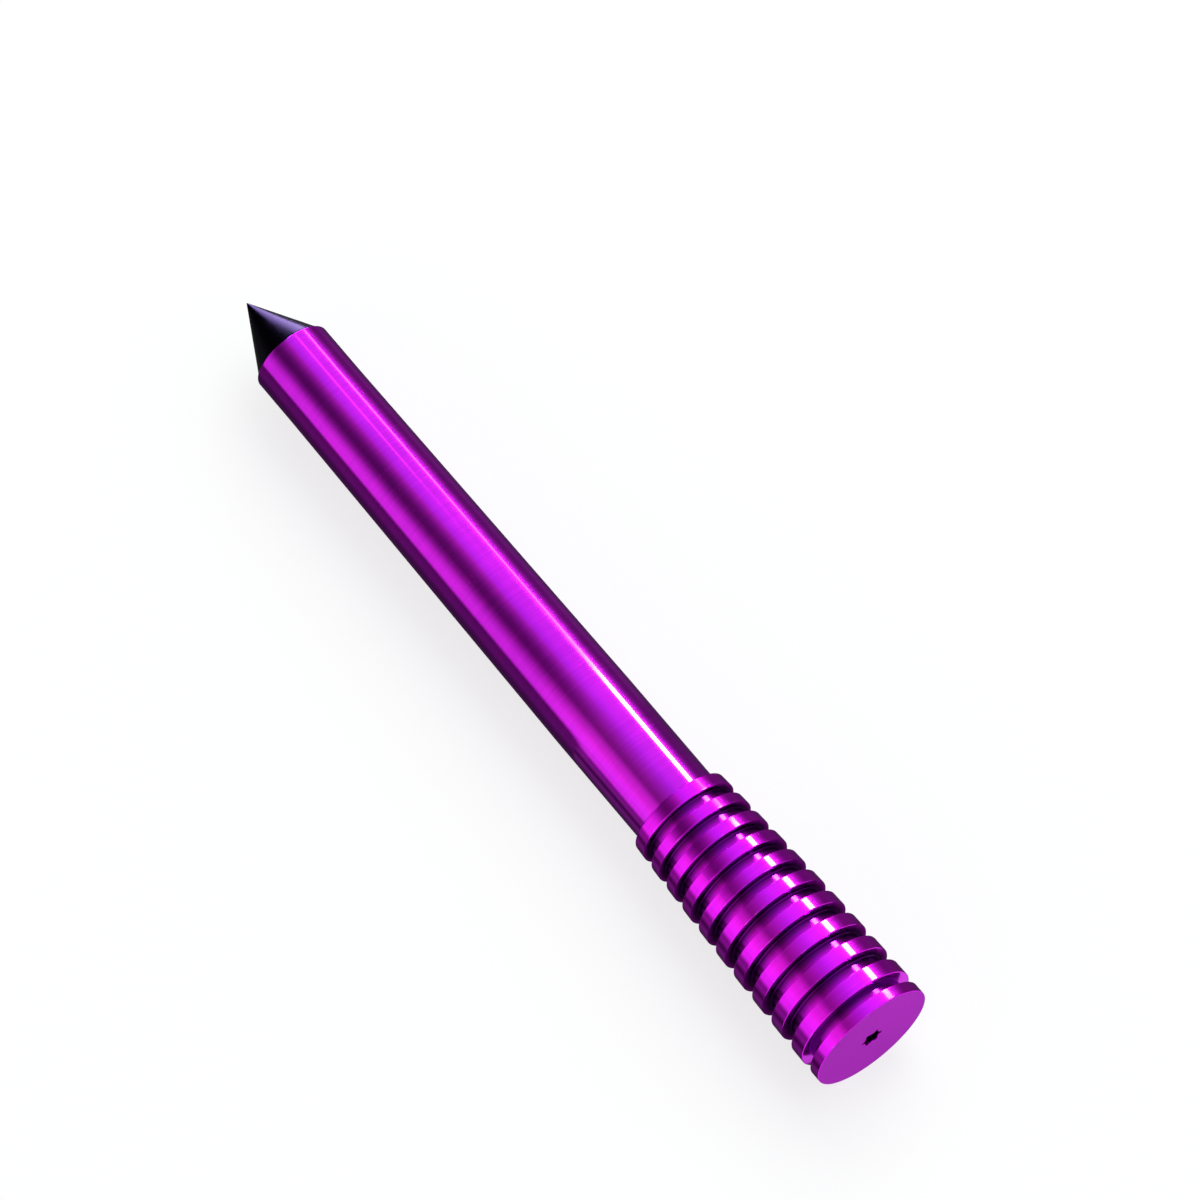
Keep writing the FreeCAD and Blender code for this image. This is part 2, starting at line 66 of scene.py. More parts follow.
class Wire:  # one output socket, so that an expression on wires adds the nodes it needs
    def __init__(self, tree, socket=None):
        self.tree = tree
        self.socket = socket

    def node(self, kind, settings=None, inputs=None, output=0):
        made = self.tree.nodes.new(kind)
        for name, value in (settings or {}).items():
            if name == "stops":
                setStops(made.color_ramp, value)
            else:
                setattr(made, name, value)
        for name, value in (inputs or {}).items():
            if isinstance(value, Wire):
                self.tree.links.new(value.socket, made.inputs[name])
            else:
                made.inputs[name].default_value = value
        return Wire(self.tree, made.outputs[output] if made.outputs else None)

    def sibling(self, output):
        return Wire(self.tree, self.socket.node.outputs[output])

    def maths(self, operation, *values, clamp=False):
        settings = {"operation": operation, "use_clamp": clamp}
        return self.node("ShaderNodeMath", settings, dict(enumerate(values)))

    def __add__(self, other):
        return self.maths("ADD", self, other)

    def __radd__(self, other):
        return self.maths("ADD", other, self)

    def __sub__(self, other):
        return self.maths("SUBTRACT", self, other)

    def __rsub__(self, other):
        return self.maths("SUBTRACT", other, self)

    def __mul__(self, other):
        return self.maths("MULTIPLY", self, other)

    def __rmul__(self, other):
        return self.maths("MULTIPLY", other, self)

    def __truediv__(self, other):
        return self.maths("DIVIDE", self, other)

    def __gt__(self, other):
        return self.maths("GREATER_THAN", self, other)


def setStops(ramp, stops):
    while len(ramp.elements) < len(stops):
        ramp.elements.new(1.0)
    for element, (place, colour) in zip(ramp.elements, stops):
        element.position = place
        element.color = colour


def grey(level):
    return (level, level, level, 1.0)


def fade(value, low, high):  # 0 below low, 1 above high, smooth between
    limits = {"Value": value, "From Min": low, "From Max": high}
    return value.node("ShaderNodeMapRange", {"interpolation_type": "SMOOTHSTEP"}, limits)


def blendColours(factor, first, second):
    return factor.node("ShaderNodeMix", {"data_type": "RGBA"}, {0: factor, 6: first, 7: second}, 2)


def stretched(position, along, across):  # the pattern's scale along the instrument and across it
    scale = (along, across, across)
    return position.node("ShaderNodeVectorMath", {"operation": "MULTIPLY"}, {0: position, 1: scale})


def noise(position, along, across, detail=2.0, roughness=0.5):
    inputs = {"Vector": stretched(position, along, across), "Scale": 1.0, "Detail": detail,
              "Roughness": roughness}
    return position.node("ShaderNodeTexNoise", None, inputs)


def newMaterial(name):  # returns the material and its object coordinates
    material = bpy.data.materials.new(name)
    material.use_nodes = True
    material.node_tree.nodes.clear()
    return material, Wire(material.node_tree).node("ShaderNodeTexCoord", output="Object")


def show(shader):
    shader.node("ShaderNodeOutputMaterial", None, {"Surface": shader})


def principled(position, sockets):
    return position.node("ShaderNodeBsdfPrincipled", None, sockets)


def relief(height, depth, strength=1.0):
    return height.node("ShaderNodeBump", None, {"Height": height, "Distance": depth, "Strength": strength})


# Finishes

violets = {
    "tube": {
        "deep": (0.62, 0.001, 0.76, 1.0),
        "bright": (0.75, 0.004, 0.86, 1.0),
        "roughness": 0.13,
        "coat": 0.35,
    },
    "grip": {
        "deep": (0.74, 0.001, 0.86, 1.0),
        "bright": (0.90, 0.004, 0.96, 1.0),
        "roughness": 0.14,
        "coat": 0.24,
    },
}
anodisedLook = {
    # a lighter, whiter colour on the rounded edges: partly edge wear, partly a painted highlight along the
    # edges
    "wearAndSheen": (0.84, 0.16, 0.90, 1.0),
    "wearAndSheenShare": 0.5,
    "wornRoughness": 0.15,
    # painted shade: a dark violet for the grooves, the cap's neck and the key socket, and how much the coat
    # is dulled there
    "groove": (0.085, 0.0004, 0.12, 1.0),
    "paintedShadeDull": 0.7,
    "edgeTint": (0.62, 0.04, 0.72, 1.0),
    "coatRoughness": 0.09,
    "streakRoughness": 0.07,
    "scratchRoughness": 0.16,
    "markDepth": 0.0000008,
    "faceColour": (0.40, 0.02, 0.47, 1.0),
    "faceRoughness": 0.42,
    "faceGrain": 0.12,
    "faceDull": 0.45,
}


def anodised(name, violet, faceX=None):  # faceX: where a satin end face begins
    look = anodisedLook
    deep, bright = violet["deep"], violet["bright"]
    material, position = newMaterial(name)
    cloud = noise(position, 60, 90, 3)
    streak = noise(position, 2600, 40, 3)
    marks = noise(position, 9000, 260, 2)
    scratch = fade(noise(position, 900, 5200, 1), 0.70, 0.74) * fade(noise(position, 120, 160, 1), 0.52, 0.62)
    # rounded edges get patches of the lighter colour, as wear and as a painted edge highlight
    wear = position.node("ShaderNodeAttribute", {"attribute_name": "wear"}, output="Fac")
    wearAndSheen = wear * fade(noise(position, 900, 700, 4), 0.54, 0.74) * look["wearAndSheenShare"]
    colour = blendColours(fade(cloud * 0.6 + streak * 0.4, 0.36, 0.66), deep, bright)
    colour = blendColours(wearAndSheen, colour, look["wearAndSheen"])
    # painted shade in the recesses: darker base colour and a duller coat where the attribute is high
    groove = position.node("ShaderNodeAttribute", {"attribute_name": "groove"}, output="Fac")
    colour = blendColours(fade(groove, 0.08, 0.82) * (0.90 + cloud * 0.16), colour, look["groove"])
    coat = violet["coat"] * (1 - fade(groove, 0.05, 0.3) * look["paintedShadeDull"])
    rough = violet["roughness"] + (streak - 0.5) * look["streakRoughness"]
    rough = rough + scratch * look["scratchRoughness"] + wearAndSheen * look["wornRoughness"]
    height = marks * 0.7 + streak * 0.3 - scratch
    if faceX is not None:
        x = position.node("ShaderNodeSeparateXYZ", None, {"Vector": position})
        face = x > faceX
        grain = noise(position, 7000, 7000, 3)
        faceColour = blendColours(cloud, look["faceColour"], bright)
        faceColour = blendColours(0.85 - grain * 0.25, faceColour, look["faceColour"])
        colour = blendColours(face, colour, faceColour)
        rough = rough * (1 - face) + (look["faceRoughness"] + (grain - 0.5) * look["faceGrain"]) * face
        coat = coat * (1 - face * look["faceDull"])
        height = height * (1 - face) + grain * 1.6 * face
    show(principled(position, {
        "Base Color": colour,
        "Roughness": rough,
        "Metallic": 1.0,
        "Specular Tint": look["edgeTint"],
        "Coat Weight": coat,
        "Coat Roughness": look["coatRoughness"],
        "Normal": relief(height, look["markDepth"]),
    }))
    return material


darkLook = {
    "dark": (0.005, 0.002, 0.013, 1.0),
    "light": (0.009, 0.004, 0.020, 1.0),
    "roughness": 0.24,
    "ringRoughness": 0.06,
    "scratchRoughness": 0.1,
    "markDepth": 0.0000008,
}


def darkCoated(name):  # polished blue-black coating of the cone
    look = darkLook
    material, position = newMaterial(name)
    cloud = noise(position, 110, 160, 3)
    rings = noise(position, 5200, 60, 2)
    colour = blendColours(fade(cloud, 0.35, 0.65), look["dark"], look["light"])
    scratch = fade(noise(position, 500, 3800, 1), 0.72, 0.76)
    rough = look["roughness"] + (rings - 0.5) * look["ringRoughness"]
    show(principled(position, {
        "Base Color": colour,
        "Roughness": rough + scratch * look["scratchRoughness"],
        "Metallic": 1.0,
        "Normal": relief(rings - scratch * 0.5, look["markDepth"]),
    }))
    return material


def turnedMetal(name, dark, light, roughness, markScale, markDepth):
    material, position = newMaterial(name)
    cloud = noise(position, 70, 120, 3)
    marks = noise(position, markScale, 120, 3)
    spots = fade(noise(position, 1500, 1500, 2), 0.66, 0.74)
    colour = blendColours(fade(cloud * 0.5 + marks * 0.5, 0.35, 0.65), dark, light)
    show(principled(position, {
        "Base Color": colour,
        "Roughness": roughness + (marks - 0.5) * 0.16 + spots * 0.06,
        "Metallic": 1.0,
        "Normal": relief(marks, markDepth),
    }))
    return material


def moulded(name, dark, light, roughness, grainScale, grainDepth):
    material, position = newMaterial(name)
    cloud = noise(position, 180, 180, 3)
    grain = noise(position, grainScale, grainScale, 3)
    colour = blendColours(fade(cloud * 0.6 + grain * 0.4, 0.35, 0.65), dark, light)
    show(principled(position, {
        "Base Color": colour,
        "Roughness": roughness + (grain - 0.5) * 0.12,
        "Metallic": 0.0,
        "Normal": relief(grain, grainDepth),
    }))
    return material


endFaceX = cadBounds[1].x
axisHeight = (cadBounds[0].z + cadBounds[1].z) / 2
tubeViolet = anodised("tubeViolet", violets["tube"])
gripViolet = anodised("gripViolet", violets["grip"])
capViolet = anodised("capViolet", violets["grip"], endFaceX - 2 * slack)
blueBlack = darkCoated("blueBlack")
satinSteel = turnedMetal("satinSteel", dark=(0.50, 0.50, 0.52, 1), light=(0.66, 0.66, 0.67, 1),
                         roughness=0.27, markScale=5200, markDepth=0.000002)
bareAluminium = turnedMetal("bareAluminium", dark=(0.66, 0.67, 0.69, 1), light=(0.80, 0.81, 0.82, 1),
                            roughness=0.33, markScale=4200, markDepth=0.000003)
whitePolymer = moulded("whitePolymer", dark=(0.74, 0.73, 0.69, 1), light=(0.84, 0.83, 0.80, 1),
                       roughness=0.42, grainScale=2400, grainDepth=0.000004)
blackRubber = moulded("blackRubber", dark=(0.012, 0.012, 0.013, 1), light=(0.030, 0.030, 0.031, 1),
                      roughness=0.55, grainScale=5200, grainDepth=0.000006)
print("finishes made")


# Turned pieces

def spunMesh(profile, steps, closed):  # profile: (along, radius) in metres from the point of the cone
    bm = bmesh.new()
    corners = [bm.verts.new((along, 0, radius)) for along, radius in profile]
    edges = [bm.edges.new(pair) for pair in zip(corners, corners[1:])]
    if closed:
        edges.append(bm.edges.new((corners[-1], corners[0])))
    bmesh.ops.spin(bm, geom=corners + edges, cent=(0, 0, 0), axis=axisX, dvec=(0, 0, 0),
                   angle=2 * math.pi, steps=steps, use_merge=True, use_duplicate=False)
    bmesh.ops.remove_doubles(bm, verts=bm.verts, dist=0.00001 * mm)
    bmesh.ops.recalc_face_normals(bm, faces=bm.faces)
    return bm


def loopEdges(bm, along, radius, within=0.002 * mm):  # the round edge loop through a corner of the profile
    def onCircle(vert):
        offAxis = math.hypot(vert.co.y, vert.co.z)
        return abs(vert.co.x - along) < within and abs(offAxis - radius) < within
    return [edge for edge in bm.edges if onCircle(edge.verts[0]) and onCircle(edge.verts[1])]


def roundLoops(bm, corners, width, segments, edgeWearAndSheenLayer=None):
    edges = []
    for along, radius in corners:
        edges += loopEdges(bm, along, radius)
    made = bmesh.ops.bevel(bm, geom=edges, offset=width, offset_type="OFFSET", affect="EDGES",
                           segments=segments, profile=0.5, material=-1)
    # the round's faces are marked for edge wear and the painted edge highlight
    if edgeWearAndSheenLayer is not None:
        for face in made["faces"]:
            face[edgeWearAndSheenLayer] = 1.0


def shadeGrooves(bm, shadeAt):  # keeps how much painted shade darkens the finish at each corner, from 0 to 1
    layer = bm.verts.layers.float.new("groove")
    for vert in bm.verts:
        vert[layer] = shadeAt(vert.co.x, math.hypot(vert.co.y, vert.co.z))


def finishPiece(bm, name, material, nodeName, body, sharpAngle=35):
    bmesh.ops.translate(bm, verts=bm.verts, vec=(cadBounds[0].x, 0, axisHeight))
    for face in bm.faces:
        face.smooth = True
    mesh = bpy.data.meshes.new(name)
    bm.to_mesh(mesh)
    bm.free()
    mesh.set_sharp_from_angle(angle=math.radians(sharpAngle))
    mesh.materials.append(material)
    piece = bpy.data.objects.new(name, mesh)
    bpy.context.scene.collection.objects.link(piece)
    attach(piece, body)
    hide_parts(nodeName)
    print("made", name, "with", len(mesh.polygons), "faces")
    return piece


def fromFront(node):  # a CAD node's front and rear, counted from the point of the cone
    low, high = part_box(node)
    return low.x - cadBounds[0].x, high.x - cadBounds[0].x


def outerRadius(node):
    low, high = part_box(node)
    return (high.z - low.z) / 2


# Director tube
tube = {
    "boreRadius": 5.36 * mm,
    "noseRadius": 5.75 * mm,
    "noseLength": 8.0 * mm,
    "shownLength": 85.3 * mm,
    "rearStraight": 18.3 * mm,
    "spigotStep": 0.33 * mm,
    "rimRound": 0.25 * mm,
    "rimFlat": 0.35 * mm,
    "innerRimRound": 0.06 * mm,
    "steps": 160,
}


def makeTube():
    front, rear = fromFront("director_tube")
    gripFront = front + tube["shownLength"]
    rearRadius = outerRadius("director_tube")
    spigotRadius = rearRadius - tube["spigotStep"]
    profile = [
        (front, tube["boreRadius"]),
        (front, tube["noseRadius"]),
        (front + tube["rimFlat"], tube["noseRadius"]),
        (front + tube["noseLength"], tube["noseRadius"]),
        (gripFront - tube["rearStraight"], rearRadius),
        (gripFront, rearRadius),
        (gripFront, spigotRadius),
        (rear, spigotRadius),
        (rear, tube["boreRadius"]),
    ]
    bm = spunMesh(profile, tube["steps"], True)
    wear = bm.faces.layers.float.new("wear")
    roundLoops(bm, [profile[1]], tube["rimRound"], 6, wear)
    roundLoops(bm, [profile[0]], tube["innerRimRound"], 2)
    return finishPiece(bm, "directorTube", tubeViolet, "director_tube", "director")


# Ringed grip
grip = {
    "rings": 10,
    "firstWidth": 2.04 * mm,
    "firstPitch": 3.42 * mm,
    "pitchGrowth": 0.118 * mm,
    "firstGroove": 1.66 * mm,
    "grooveGrowth": 0.045 * mm,
    "firstFloor": 6.38 * mm,
    "floorGrowth": 0.1 * mm,
    "frontRadius": 7.28 * mm,
    "crownRadius": 750 * mm,
    "boreRadius": 5.97 * mm,
    "chamberRadius": 6.6 * mm,
    "chamberDepth": 15.07 * mm,
    "leadIn": 0.3 * mm,
    "edgeRound": 0.13 * mm,
    "flatFrom": 0.19 * mm,
    "floorRound": 0.22 * mm,
    "bedFrom": 0.3 * mm,
    "grooveShadeFade": 0.8,
    "steps": 160,
}


def crownedTop(along, front, rear, frontRadius, rearRadius):  # parabola for the long arc over the rings
    share = (along - front) / (rear - front)
    chord = frontRadius + (rearRadius - frontRadius) * share
    return chord + (along - front) * (rear - along) / (2 * grip["crownRadius"])


def makeGrip():
    front, rear = fromFront("ringed_grip")
    rearRadius = outerRadius("ringed_grip")
    chamberFront = rear - grip["chamberDepth"]

    def top(along):
        return crownedTop(along, front, rear, grip["frontRadius"], rearRadius)

    flat, bed = grip["flatFrom"], grip["bedFrom"]
    outside = [(front, top(front)), (front + flat, top(front + flat))]
    floors = []
    grooves = []
    edges = [outside[0]]
    for ring in range(grip["rings"]):
        steps = ring * (ring - 1) / 2
        ringRear = front + grip["firstWidth"] + grip["firstPitch"] * ring + grip["pitchGrowth"] * steps
        outside += [(ringRear - flat, top(ringRear - flat)), (ringRear, top(ringRear))]
        edges.append(outside[-1])
        if ring < grip["rings"] - 1:
            grooveRear = ringRear + grip["firstGroove"] + grip["grooveGrowth"] * ring
            floor = grip["firstFloor"] + grip["floorGrowth"] * ring
            outside += [(ringRear, floor), (ringRear + bed, floor)]
            outside += [(grooveRear - bed, floor), (grooveRear, floor)]
            outside += [(grooveRear, top(grooveRear)), (grooveRear + flat, top(grooveRear + flat))]
            floors += [(ringRear, floor), (grooveRear, floor)]
            grooves.append((ringRear, grooveRear))
            edges.append(outside[-2])
    inside = [
        (rear, grip["chamberRadius"] + grip["leadIn"]),
        (rear - grip["leadIn"], grip["chamberRadius"]),
        (chamberFront, grip["chamberRadius"]),
        (chamberFront, grip["boreRadius"]),
        (front, grip["boreRadius"]),
    ]
    bm = spunMesh(outside + inside, grip["steps"], True)
    wear = bm.faces.layers.float.new("wear")
    roundLoops(bm, floors, grip["floorRound"], 3)
    roundLoops(bm, edges, grip["edgeRound"], 4, wear)

    def shadeAt(along, radius):  # painted shade, darkest at the wall behind a ring, lighter towards the next ring
        inBore = radius < grip["firstFloor"] - slack
        if inBore or top(along) - radius < grip["edgeRound"] + slack / 2:
            return 0
        for grooveFront, grooveRear in grooves:
            if grooveFront - slack < along < grooveRear + slack:
                return 1 - grip["grooveShadeFade"] * (along - grooveFront) / (grooveRear - grooveFront)
        return 0

    shadeGrooves(bm, shadeAt)
    return finishPiece(bm, "ringedGrip", gripViolet, "ringed_grip", "director")


# End cap with its key socket
cap = {
    "plugLead": 0.6 * mm,
    "plugLength": 11.0 * mm,
    "plugRadius": 6.56 * mm,
    "sealMiddle": 5.5 * mm,
    "glandWidth": 1.5 * mm,
    "glandFloor": 5.26 * mm,
    "neckRadius": 7.28 * mm,
    "neckLength": 1.62 * mm,
    "edgeRound": 0.13 * mm,
    "faceEdge": 0.12 * mm,
    "threadRadius": 3.02 * mm,
    "threadDepth": 9.1 * mm,
    "socketMargin": 2.2 * mm,
    "keyOuter": 1.635 * mm,
    "keyLobe": 0.267 * mm,
    "keyHollow": 0.704 * mm,
    "keyDepth": 2.2 * mm,
    "keyChamfer": 0.12 * mm,
    "keyShade": 0.12 * mm,
    "keyDrill": 0.35 * mm,
    "lobes": 6,
    "steps": 192,
}


def keyRadius(turn):  # the hexalobular outline in polar form: round lobes joined by round hollows
    half = math.pi / cap["lobes"]
    turn = abs((turn + half) % (2 * half) - half)
    reach = cap["keyOuter"] - cap["keyLobe"]
    apart = cap["keyLobe"] + cap["keyHollow"]
    hollowReach = reach * math.cos(half) + math.sqrt(apart ** 2 - (reach * math.sin(half)) ** 2)
    share = cap["keyLobe"] / apart  # the two arcs meet on the line between their centres
    touchX = reach + (hollowReach * math.cos(half) - reach) * share
    touchY = hollowReach * math.sin(half) * share
    if turn < math.atan2(touchY, touchX):
        return reach * math.cos(turn) + math.sqrt(cap["keyLobe"] ** 2 - (reach * math.sin(turn)) ** 2)
    away = half - turn
    inner = math.sqrt(cap["keyHollow"] ** 2 - (hollowReach * math.sin(away)) ** 2)
    return hollowReach * math.cos(away) - inner


def sinkKeySocket(bm, rim, faceX):  # rim: the round edge loop that the face is left open to
    wall = rim
    for depth, wider in ((0, cap["keyChamfer"]), (cap["keyChamfer"], 0)):
        moved = bmesh.ops.extrude_edge_only(bm, edges=wall)["geom"]
        for vert in [item for item in moved if isinstance(item, bmesh.types.BMVert)]:
            turn = math.atan2(vert.co.z, vert.co.y)
            radius = keyRadius(turn) + wider
            vert.co = (faceX - depth, radius * math.cos(turn), radius * math.sin(turn))
        wall = [item for item in moved if isinstance(item, bmesh.types.BMEdge) and item.is_boundary]
    for depth, shrink in ((cap["keyDepth"], 1.0), (cap["keyDrill"], 0.0)):
        moved = bmesh.ops.extrude_edge_only(bm, edges=wall)["geom"]
        verts = [item for item in moved if isinstance(item, bmesh.types.BMVert)]
        bmesh.ops.translate(bm, verts=verts, vec=(-depth, 0, 0))
        bmesh.ops.scale(bm, verts=verts, vec=(1, shrink, shrink))
        wall = [item for item in moved if isinstance(item, bmesh.types.BMEdge) and item.is_boundary]
    bmesh.ops.remove_doubles(bm, verts=bm.verts, dist=0.0001 * mm)


def makeCap():
    front, rear = fromFront("end_cap")
    radius = outerRadius("end_cap")
    neckFront = front + cap["plugLength"]
    landFront = neckFront + cap["neckLength"]
    glandFront = front + cap["sealMiddle"] - cap["glandWidth"] / 2
    glandRear = glandFront + cap["glandWidth"]
    flat = grip["flatFrom"]
    neckCorner = (landFront, cap["neckRadius"])
    frontEdge = (landFront, radius)
    rearEdge = (rear, radius)
    profile = [
        (front + cap["threadDepth"], 0),
        (front + cap["threadDepth"], cap["threadRadius"]),
        (front, cap["threadRadius"]),
        (front, cap["plugRadius"] - cap["plugLead"]),
        (front + cap["plugLead"], cap["plugRadius"]),
        (glandFront, cap["plugRadius"]),
        (glandFront, cap["glandFloor"]),
        (glandRear, cap["glandFloor"]),
        (glandRear, cap["plugRadius"]),
        (neckFront, cap["plugRadius"]),
        (neckFront, cap["neckRadius"]),
        (landFront - grip["bedFrom"], cap["neckRadius"]),
        neckCorner,
        frontEdge,
        (landFront + flat, radius),
        (rear - flat, radius),
        rearEdge,
        (rear, radius - flat),
        (rear, cap["socketMargin"]),
    ]
    bm = spunMesh(profile, cap["steps"], False)
    wear = bm.faces.layers.float.new("wear")
    sinkKeySocket(bm, loopEdges(bm, *profile[-1]), rear)
    roundLoops(bm, [neckCorner], grip["floorRound"], 3)
    roundLoops(bm, [frontEdge], cap["edgeRound"], 4, wear)
    roundLoops(bm, [rearEdge], cap["faceEdge"], 4, wear)

    def shadeAt(along, away):  # painted shade on the neck as in the grooves, and on the walls of the key socket
        deep = rear - along
        if deep < cap["keyChamfer"] + cap["keyDepth"] + slack and away < cap["keyOuter"] + slack:
            return min(1.0, deep / cap["keyShade"])
        onNeck = neckFront - slack < along < landFront + slack
        sunk = cap["neckRadius"] - slack < away < radius - cap["edgeRound"] - slack / 2
        share = (along - neckFront) / cap["neckLength"]
        return 1 - grip["grooveShadeFade"] * share if onNeck and sunk else 0

    shadeGrooves(bm, shadeAt)
    bmesh.ops.recalc_face_normals(bm, faces=bm.faces)
    return finishPiece(bm, "endCap", capViolet, "end_cap", "obturator")


# Cone tip, with round ridges in place of its spigot's thread
tip = {
    "pointRadius": 0.06 * mm,
    "coneLength": 10.0 * mm,
    "landLength": 10.0 * mm,
    "landRadius": 5.32 * mm,
    "threadRadius": 3.0 * mm,
    "threadPitch": 0.5 * mm,
    "threadDepth": 0.18 * mm,
    "baseRound": 0.1 * mm,
    "steps": 160,
}


def makeTip():
    front, rear = fromFront("cone_tip")
    base = front + tip["coneLength"]
    land = base + tip["landLength"]
    profile = [
        (front, 0),
        (front, tip["pointRadius"]),
        (base, tip["landRadius"]),
        (land, tip["landRadius"]),
        (land, tip["threadRadius"]),
    ]
    crest = land + tip["threadPitch"]
    while crest < rear - tip["threadPitch"]:
        profile.append((crest, tip["threadRadius"]))
        profile.append((crest + tip["threadPitch"] / 2, tip["threadRadius"] - tip["threadDepth"]))
        crest += tip["threadPitch"]
    profile += [(rear, tip["threadRadius"] - tip["threadDepth"]), (rear, 0)]
    bm = spunMesh(profile, tip["steps"], False)
    roundLoops(bm, [profile[2], profile[3]], tip["baseRound"], 4)
    bmesh.ops.recalc_face_normals(bm, faces=bm.faces)
    return finishPiece(bm, "coneTip", blueBlack, "cone_tip", "obturator", 30)


makeTube()
makeGrip()
makeCap()
makeTip()

# The inner pieces keep their CAD shapes
innerFinish = {
    "core_rod": satinSteel,
    "tip_pin": satinSteel,
    "ring_nut": bareAluminium,
    "nut_washer": whitePolymer,
    "guide_ring_front": whitePolymer,
    "guide_ring_rear": whitePolymer,
    "cap_seal_ring": blackRubber,
}
hiddenFinish = {
    "director_tube": tubeViolet,
    "ringed_grip": gripViolet,
    "end_cap": capViolet,
    "cone_tip": blueBlack,
}
for nodeName, material in (innerFinish | hiddenFinish).items():
    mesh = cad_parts[nodeName].data
    if not mesh.materials:
        mesh.materials.append(material)
    for index in range(len(mesh.materials)):
        mesh.materials[index] = material
print("finishes given to the CAD nodes")


# Floor

floorLook = {
    "size": 40.0,
    "colour": (0.95, 0.95, 0.925, 1.0),
    "shade": (0.93, 0.93, 0.905, 1.0),
    "roughness": 0.9,
    "whitened": 0.74,
}


def stagePlane(name, corners, material):
    mesh = bpy.data.meshes.new(name)
    mesh.from_pydata(corners, [], [tuple(range(len(corners)))])
    mesh.materials.append(material)
    plane = bpy.data.objects.new(name, mesh)
    bpy.context.scene.collection.objects.link(plane)
    return plane


def makeFloor():
    material, position = newMaterial("paleFloor")
    colour = blendColours(noise(position, 3, 3, 4), floorLook["colour"], floorLook["shade"])
    paint = principled(position, {
        "Base Color": colour,
        "Roughness": floorLook["roughness"],
        "Specular IOR Level": 0.1,
    })
    ray = position.node("ShaderNodeLightPath")
    shown = ray.sibling("Is Camera Ray") + ray.sibling("Is Glossy Ray") + ray.sibling("Is Transmission Ray")
    white = position.node("ShaderNodeEmission")
    share = shown.maths("MINIMUM", shown, 1.0) * floorLook["whitened"]
    show(position.node("ShaderNodeMixShader", None, {0: share, 1: paint, 2: white}))
    reach = floorLook["size"] / 2
    corners = [(-reach, -reach, 0), (reach, -reach, 0), (reach, reach, 0), (-reach, reach, 0)]
    stagePlane("floor", corners, material)


makeFloor()

# Dark and pale flags round the instrument, which only its reflections show
flags = {
    # lowest and highest corner in metres, the axis of the gradient, and brightness at places on that axis;
    # seen from the camera, a slanted flag ends at the rear where the reflections on the grip begin
    "underTube": {
        "low": (-0.12, -0.25, 0.00005),
        "high": (0.012, 0.06, 0.00005),
        "slanted": True,
        "axis": 1,
        "stops": [(-0.25, 0.80), (-0.14, 0.60), (-0.085, 0.25), (-0.06, 0.07), (-0.045, 0.12),
                  (-0.02, 0.14), (-0.012, 0.06), (0.01, 0.10), (0.03, 0.19), (0.06, 0.22)],
    },
    "underGrip": {
        "low": (-0.05, -0.10, 0.00003),
        "high": (0.066, 0.06, 0.00003),
        "slanted": False,
        "axis": 1,
        "stops": [(-0.10, 1.0), (-0.066, 1.0), (-0.047, 0.46), (-0.04, 0.22), (-0.034, 0.22), (-0.026, 0.29),
                  (-0.0185, 0.03), (-0.0135, 0.19), (-0.008, 0.07), (0.01, 0.12), (0.06, 0.17)],
    },
    "underFront": {
        "low": (-0.30, -0.14, 0.00005),
        "high": (-0.12, 0.14, 0.00005),
        "slanted": False,
        "axis": 1,
        "stops": [(-0.14, 0.02), (0.14, 0.02)],
    },
    "beside": {
        "low": (-0.30, 0.06, 0.0),
        "high": (0.075, 0.06, 0.036),
        "slanted": False,
        "axis": 2,
        "stops": [(0.0, 0.15), (0.017, 0.15), (0.028, 0.34), (0.036, 0.75)],
    },
    "nearTube": {
        "low": (-0.40, -0.25, 0.0),
        "high": (-0.085, -0.25, 0.155),
        "slanted": True,
        "axis": 2,
        "stops": [(0.0, 0.88), (0.035, 0.88), (0.08, 0.88), (0.13, 0.66), (0.155, 0.56)],
    },
    "overTube": {
        "low": (-0.60, -0.88, 0.5),
        "high": (-0.176, 0.0, 0.5),
        "slanted": True,
        "axis": 1,
        "stops": [(-0.88, 0.58), (-0.74, 0.42), (-0.57, 0.24), (-0.38, 0.10), (-0.25, 0.12), (-0.15, 0.22),
                  (-0.06, 0.42), (0.0, 0.64)],
    },
    "front": {
        "low": (-0.30, -0.14, 0.0),
        "high": (-0.30, 0.14, 0.14),
        "slanted": False,
        "axis": 2,
        "stops": [(0.0, 0.01), (0.14, 0.01)],
    },
}
flagSlant = {
    "slope": 0.386,  # how far forward the camera's reflections run for each metre away from the axis
    "steps": 10,
}


def flagCorners(look):
    (x0, y0, z0), (x1, y1, z1) = look["low"], look["high"]
    if x0 == x1:
        return [(x0, y0, z0), (x0, y1, z0), (x0, y1, z1), (x0, y0, z1)]
    slope = flagSlant["slope"] if look["slanted"] else 0
    steps = flagSlant["steps"] if look["slanted"] else 1
    nearest = abs(z0 - axisHeight) if z0 == z1 else abs(y0)
    corners = [(x0, y1, z1), (x0, y0, z0)]
    for step in range(steps + 1):
        y = y0 + (y1 - y0) * step / steps
        z = z0 + (z1 - z0) * step / steps
        away = math.hypot(y, z - axisHeight) - nearest
        corners.append((x1 - slope * away, y, z))
    return corners


